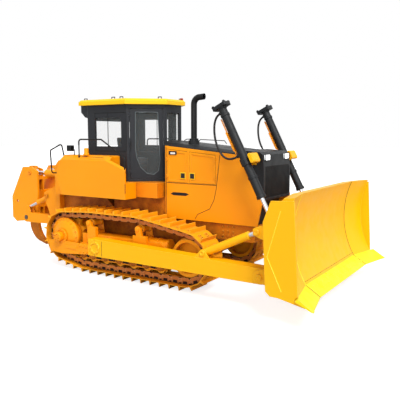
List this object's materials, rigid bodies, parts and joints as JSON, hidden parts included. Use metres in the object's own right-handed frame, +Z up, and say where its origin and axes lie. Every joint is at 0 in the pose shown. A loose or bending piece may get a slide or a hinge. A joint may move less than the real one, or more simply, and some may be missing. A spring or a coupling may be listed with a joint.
{
  "type": "crawler bulldozer",
  "caption": "Crawler bulldozer with a winged blade, a six-sided cab and a single-shank ripper on a parallel linkage.",
  "frame": {"origin": "on the ground under the middle of the machine", "axes": "+X forward, +Y the machine's left, +Z up"},
  "size_m": [9.904, 4.654, 4.1879],
  "materials": {
    "black_plastic": "matte black moulding",
    "cast_steel": "cast steel, painted and worn",
    "chrome_rod": "hard chrome",
    "dark_paint": "satin dark grey paint",
    "glass": "tinted safety glass",
    "grey_paint": "satin mid grey paint",
    "hose_rubber": "black hydraulic hose",
    "lamp_glass": "clear lamp glass",
    "seat_cloth": "dark woven cloth",
    "track_steel": "worn track steel with dry soil",
    "worn_steel": "bare steel worn by soil",
    "yellow_paint": "weathered yellow paint"
  },
  "bodies": {
    "machine": {"belly_guard": "cast_steel", "cab_glass": "glass", "cab_roof": "yellow_paint", "cab_shell": "grey_paint", "consoles": "black_plastic", "cowl": "dark_paint", "deck": "yellow_paint", "engine_block": "cast_steel", "equalizer_bar": "yellow_paint", "exhaust": "dark_paint", "fenders": "yellow_paint", "final_drives": "yellow_paint", "fuel_tank": "yellow_paint", "grille": "dark_paint", "handrails": "dark_paint", "head_lamps": "lamp_glass", "hood_sides": "yellow_paint", "hood_top": "grey_paint", "idlers": "track_steel", "main_frame": "yellow_paint", "pivot_shaft": "cast_steel", "radiator": "dark_paint", "radiator_mask": "grey_paint", "rear_unit": "grey_paint", "ripper_mount": "yellow_paint", "rollers": "track_steel", "seat_back": "seat_cloth", "seat_base": "dark_paint", "seat_cushion": "seat_cloth", "sprockets": "track_steel", "track_frames": "yellow_paint", "track_left": "track_steel", "track_right": "track_steel", "yokes": "yellow_paint"},
    "push_arms": {"push_arms": "yellow_paint"},
    "blade": {"blade": "yellow_paint", "cutting_edge": "worn_steel"},
    "lift_barrels": {"lift_barrels": "grey_paint", "lift_hose_right": "hose_rubber", "lift_hose_left": "hose_rubber"},
    "lift_rods": {"lift_rods": "chrome_rod"},
    "brace_barrels": {"brace_barrels": "yellow_paint"},
    "brace_rods": {"brace_rods": "chrome_rod"},
    "cab_door_right": {"cab_door_right": "grey_paint", "door_glass_right": "glass"},
    "cab_door_left": {"cab_door_left": "grey_paint", "door_glass_left": "glass"},
    "engine_door_rear_right": {"engine_door_rear_right": "yellow_paint"},
    "engine_door_rear_left": {"engine_door_rear_left": "yellow_paint"},
    "engine_door_front_right": {"engine_door_front_right": "yellow_paint"},
    "engine_door_front_left": {"engine_door_front_left": "yellow_paint"},
    "ripper_arm": {"ripper_arm": "yellow_paint"},
    "carriage_pins": {"carriage_pins": "worn_steel"},
    "ripper_carriage": {"ripper_carriage": "yellow_paint", "ripper_shank": "cast_steel"},
    "tilt_barrels": {"tilt_barrels": "yellow_paint"},
    "tilt_rods": {"tilt_rods": "chrome_rod"},
    "ripper_barrels": {"ripper_barrels": "yellow_paint"},
    "ripper_rods": {"ripper_rods": "chrome_rod"}
  },
  "joints": [
    {"name": "blade_lift", "type": "hinge", "parent": "machine", "child": "push_arms", "pos_m": [-0.422, 0, 0.75], "axis": [0, -1, 0], "range_deg": [-10.5, 12]},
    {"name": "blade_pitch", "type": "hinge", "parent": "push_arms", "child": "blade", "pos_m": [3.708, 0, 0.7], "axis": [0, 1, 0], "range_deg": [-5, 5]},
    {"name": "lift_barrels_swing", "type": "hinge", "parent": "machine", "child": "lift_barrels", "pos_m": [2.958, 0, 2.75], "axis": [0, -1, 0], "range_deg": [-9.6, 10.97]},
    {"name": "lift_rods_slide", "type": "slide", "parent": "lift_barrels", "child": "lift_rods", "axis": [0.4598, 0, -0.888], "range_m": [-0.8345, 0.7302]},
    {"name": "brace_barrels_swing", "type": "hinge", "parent": "push_arms", "child": "brace_barrels", "pos_m": [2.428, 0, 0.975], "axis": [0, -1, 0], "range_deg": [-0.92, 0.92]},
    {"name": "brace_rods_slide", "type": "slide", "parent": "brace_barrels", "child": "brace_rods", "axis": [0.9109, 0, 0.4126], "range_m": [-0.0694, 0.0694]},
    {"name": "cab_door_right_swing", "type": "hinge", "parent": "machine", "child": "cab_door_right", "pos_m": [-0.1062, -0.9127, 3], "axis": [0, 0, -1], "range_deg": [0, 65]},
    {"name": "cab_door_left_swing", "type": "hinge", "parent": "machine", "child": "cab_door_left", "pos_m": [-0.1062, 0.9127, 3], "axis": [0, 0, 1], "range_deg": [0, 65]},
    {"name": "engine_door_rear_right_swing", "type": "hinge", "parent": "machine", "child": "engine_door_rear_right", "pos_m": [0.804, -0.712, 2.6], "axis": [0, 0, -1], "range_deg": [0, 90]},
    {"name": "engine_door_front_right_swing", "type": "hinge", "parent": "machine", "child": "engine_door_front_right", "pos_m": [2.072, -0.712, 2.6], "axis": [0, 0, 1], "range_deg": [0, 90]},
    {"name": "engine_door_rear_left_swing", "type": "hinge", "parent": "machine", "child": "engine_door_rear_left", "pos_m": [0.804, 0.712, 2.6], "axis": [0, 0, 1], "range_deg": [0, 90]},
    {"name": "engine_door_front_left_swing", "type": "hinge", "parent": "machine", "child": "engine_door_front_left", "pos_m": [2.072, 0.712, 2.6], "axis": [0, 0, -1], "range_deg": [0, 90]},
    {"name": "ripper_lift", "type": "hinge", "parent": "machine", "child": "ripper_arm", "pos_m": [-2.892, 0, 1.02], "axis": [0, 1, 0], "range_deg": [-38, 18]},
    {"name": "carriage_pins_turn", "type": "hinge", "parent": "ripper_arm", "child": "carriage_pins", "pos_m": [-4.092, 0, 1], "axis": [0, 1, 0], "range_deg": [-18.36, 38.76]},
    {"name": "ripper_pitch", "type": "hinge", "parent": "carriage_pins", "child": "ripper_carriage", "pos_m": [-4.092, 0, 1], "axis": [0, 1, 0], "range_deg": [-8, 8]},
    {"name": "tilt_barrels_swing", "type": "hinge", "parent": "machine", "child": "tilt_barrels", "pos_m": [-2.942, 0, 2.24], "axis": [0, 1, 0], "range_deg": [-38.76, 18.36]},
    {"name": "tilt_rods_slide", "type": "slide", "parent": "tilt_barrels", "child": "tilt_rods", "axis": [-0.9999, 0, -0.0167], "range_m": [-0.1732, 0.1732]},
    {"name": "ripper_barrels_swing", "type": "hinge", "parent": "machine", "child": "ripper_barrels", "pos_m": [-3.142, 0, 1.66], "axis": [0, 1, 0], "range_deg": [-34.33, 16.26]},
    {"name": "ripper_rods_slide", "type": "slide", "parent": "ripper_barrels", "child": "ripper_rods", "axis": [-0.9194, 0, -0.3933], "range_m": [-0.213, 0.4496]}
  ],
  "couplings": [
    {"joint": "lift_barrels_swing", "follows": "blade_lift", "ratio": 0.89632},
    {"joint": "lift_rods_slide", "follows": "blade_lift", "m_per_rad": -3.9058},
    {"joint": "brace_barrels_swing", "follows": "blade_pitch", "ratio": -0.18064},
    {"joint": "brace_rods_slide", "follows": "blade_pitch", "m_per_rad": 0.77863},
    {"joint": "carriage_pins_turn", "follows": "ripper_lift", "ratio": -1},
    {"joint": "tilt_barrels_swing", "follows": "ripper_lift", "ratio": 1},
    {"joint": "tilt_rods_slide", "follows": "ripper_pitch", "m_per_rad": -1.2153},
    {"joint": "ripper_barrels_swing", "follows": "ripper_lift", "ratio": 0.88559},
    {"joint": "ripper_rods_slide", "follows": "ripper_lift", "m_per_rad": -0.66449}
  ]
}
